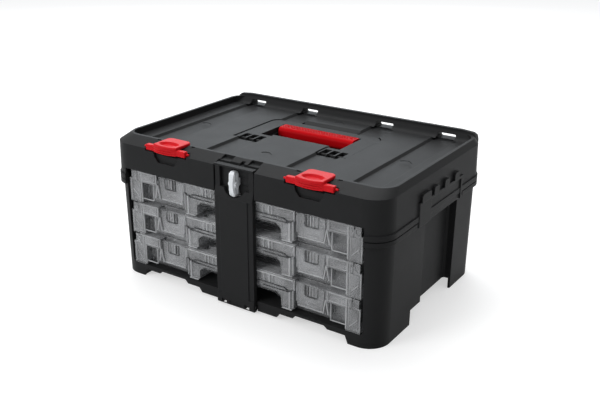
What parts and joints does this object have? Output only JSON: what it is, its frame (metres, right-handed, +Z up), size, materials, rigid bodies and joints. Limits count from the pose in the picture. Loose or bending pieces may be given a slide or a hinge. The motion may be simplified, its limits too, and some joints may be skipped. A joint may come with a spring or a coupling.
{
  "type": "tool box",
  "caption": "Portable stackable tool cabinet: plastic casing with a folding carry handle, flip latches and a turn-knob locking bar over clear sliding organisers.",
  "frame": {"origin": "on the ground below the middle of the cabinet's outer box", "axes": "+Z up, -Y towards the front with the organisers, +X along the front to the right"},
  "size_m": [0.489, 0.3364, 0.234],
  "materials": {
    "casing": "fine matt texture",
    "red": "satin, knurled on the grip",
    "knob": "satin",
    "clear": "clear polycarbonate, lightly tinted",
    "steel": "zinc plated"
  },
  "bodies": {
    "casing": {"base_shell": "casing", "hood": "casing", "hood_screws": "steel", "runner_right": "casing", "runner_left": "casing", "bar_hinge_pin": "steel", "handle_pins": "casing"},
    "locking_bar": {"locking_bar": "casing", "bar_head": "casing"},
    "turn_knob": {"turn_knob": "knob", "knob_clip": "steel"},
    "carry_handle": {"handle_frame": "casing", "handle_grip": "red"},
    "flip_latch_left": {"flip_latch_left": "red"},
    "flip_latch_right": {"flip_latch_right": "red"},
    "organiser_1": {"tray_1": "clear", "lid_1": "clear", "lid_pins_1": "steel", "dividers_1": "clear"},
    "clasp_left_1": {"clasp_left_1": "clear"},
    "clasp_right_1": {"clasp_right_1": "clear"},
    "organiser_2": {"tray_2": "clear", "lid_2": "clear", "lid_pins_2": "steel", "dividers_2": "clear"},
    "clasp_left_2": {"clasp_left_2": "clear"},
    "clasp_right_2": {"clasp_right_2": "clear"},
    "organiser_3": {"tray_3": "clear", "lid_3": "clear", "lid_pins_3": "steel", "dividers_3": "clear"},
    "clasp_left_3": {"clasp_left_3": "clear"},
    "clasp_right_3": {"clasp_right_3": "clear"}
  },
  "joints": [
    {"name": "bar_hinge", "type": "hinge", "parent": "casing", "child": "locking_bar", "pos_m": [0, -0.15985, 0.009], "axis": [1, 0, 0], "range_deg": [0, 90]},
    {"name": "knob_turn", "type": "hinge", "parent": "casing", "child": "turn_knob", "pos_m": [0, -0.14795, 0.1973], "axis": [0, 1, 0], "range_deg": [0, 90]},
    {"name": "handle_fold", "type": "hinge", "parent": "casing", "child": "carry_handle", "pos_m": [0, -0.01795, 0.212], "axis": [1, 0, 0], "range_deg": [0, 90]},
    {"name": "latch_left_flip", "type": "hinge", "parent": "casing", "child": "flip_latch_left", "pos_m": [-0.127, -0.15825, 0.2227], "axis": [1, 0, 0], "range_deg": [0, 95]},
    {"name": "latch_right_flip", "type": "hinge", "parent": "casing", "child": "flip_latch_right", "pos_m": [0.127, -0.15825, 0.2227], "axis": [1, 0, 0], "range_deg": [0, 95]},
    {"name": "organiser_slide_1", "type": "slide", "parent": "casing", "child": "organiser_1", "axis": [0, -1, 0], "range_m": [0, 0.28]},
    {"name": "clasp_left_1_open", "type": "hinge", "parent": "organiser_1", "child": "clasp_left_1", "pos_m": [-0.126, -0.14945, 0.066], "axis": [-1, 0, 0], "range_deg": [0, 85]},
    {"name": "clasp_right_1_open", "type": "hinge", "parent": "organiser_1", "child": "clasp_right_1", "pos_m": [0.126, -0.14945, 0.066], "axis": [-1, 0, 0], "range_deg": [0, 85]},
    {"name": "organiser_slide_2", "type": "slide", "parent": "casing", "child": "organiser_2", "axis": [0, -1, 0], "range_m": [0, 0.28]},
    {"name": "clasp_left_2_open", "type": "hinge", "parent": "organiser_2", "child": "clasp_left_2", "pos_m": [-0.126, -0.14945, 0.1192], "axis": [-1, 0, 0], "range_deg": [0, 85]},
    {"name": "clasp_right_2_open", "type": "hinge", "parent": "organiser_2", "child": "clasp_right_2", "pos_m": [0.126, -0.14945, 0.1192], "axis": [-1, 0, 0], "range_deg": [0, 85]},
    {"name": "organiser_slide_3", "type": "slide", "parent": "casing", "child": "organiser_3", "axis": [0, -1, 0], "range_m": [0, 0.219]},
    {"name": "clasp_left_3_open", "type": "hinge", "parent": "organiser_3", "child": "clasp_left_3", "pos_m": [-0.126, -0.14945, 0.1724], "axis": [-1, 0, 0], "range_deg": [0, 85]},
    {"name": "clasp_right_3_open", "type": "hinge", "parent": "organiser_3", "child": "clasp_right_3", "pos_m": [0.126, -0.14945, 0.1724], "axis": [-1, 0, 0], "range_deg": [0, 85]}
  ],
  "couplings": [
    {"joint": "bar_hinge", "follows": "organiser_slide_3", "rad_per_m": 7.1685},
    {"joint": "organiser_slide_1", "follows": "organiser_slide_3", "ratio": 0.23656},
    {"joint": "organiser_slide_2", "follows": "organiser_slide_3", "ratio": 0.62007}
  ]
}
